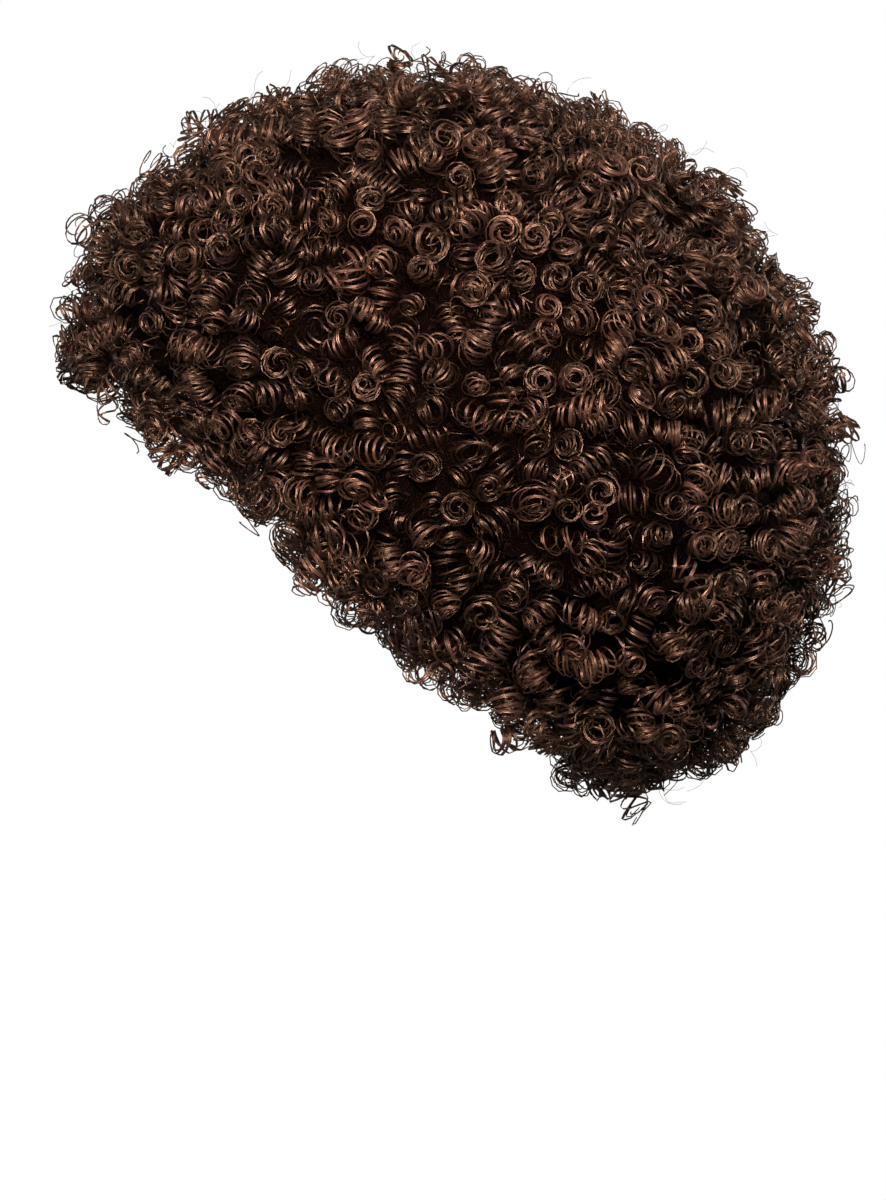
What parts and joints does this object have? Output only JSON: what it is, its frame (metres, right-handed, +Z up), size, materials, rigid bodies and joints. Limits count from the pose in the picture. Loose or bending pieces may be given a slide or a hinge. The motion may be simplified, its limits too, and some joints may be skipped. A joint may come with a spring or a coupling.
{
  "type": "afro wig",
  "caption": "Round afro wig of tight corkscrew curls in rows on a hollow net cap that fits over the head.",
  "frame": {"origin": "the inside of the cap's top, where the wig sits on the crown of the head", "axes": "+Z up, the face opening towards -Y, the wearer's left side towards +X"},
  "size_m": [0.2814, 0.2901, 0.2735],
  "materials": {
    "curled_hair": "dark brown curled synthetic fibre with a soft sheen",
    "cap_net": "matt dark knitted net"
  },
  "bodies": {
    "root": {"cap": "cap_net", "crown_curls": "curled_hair", "weft_row_1": "curled_hair", "weft_row_2": "curled_hair", "weft_row_3": "curled_hair", "weft_row_4": "curled_hair", "weft_row_5": "curled_hair", "weft_row_6": "curled_hair", "weft_row_7": "curled_hair", "weft_row_8": "curled_hair", "hairline_curls": "curled_hair"}
  },
  "joints": []
}
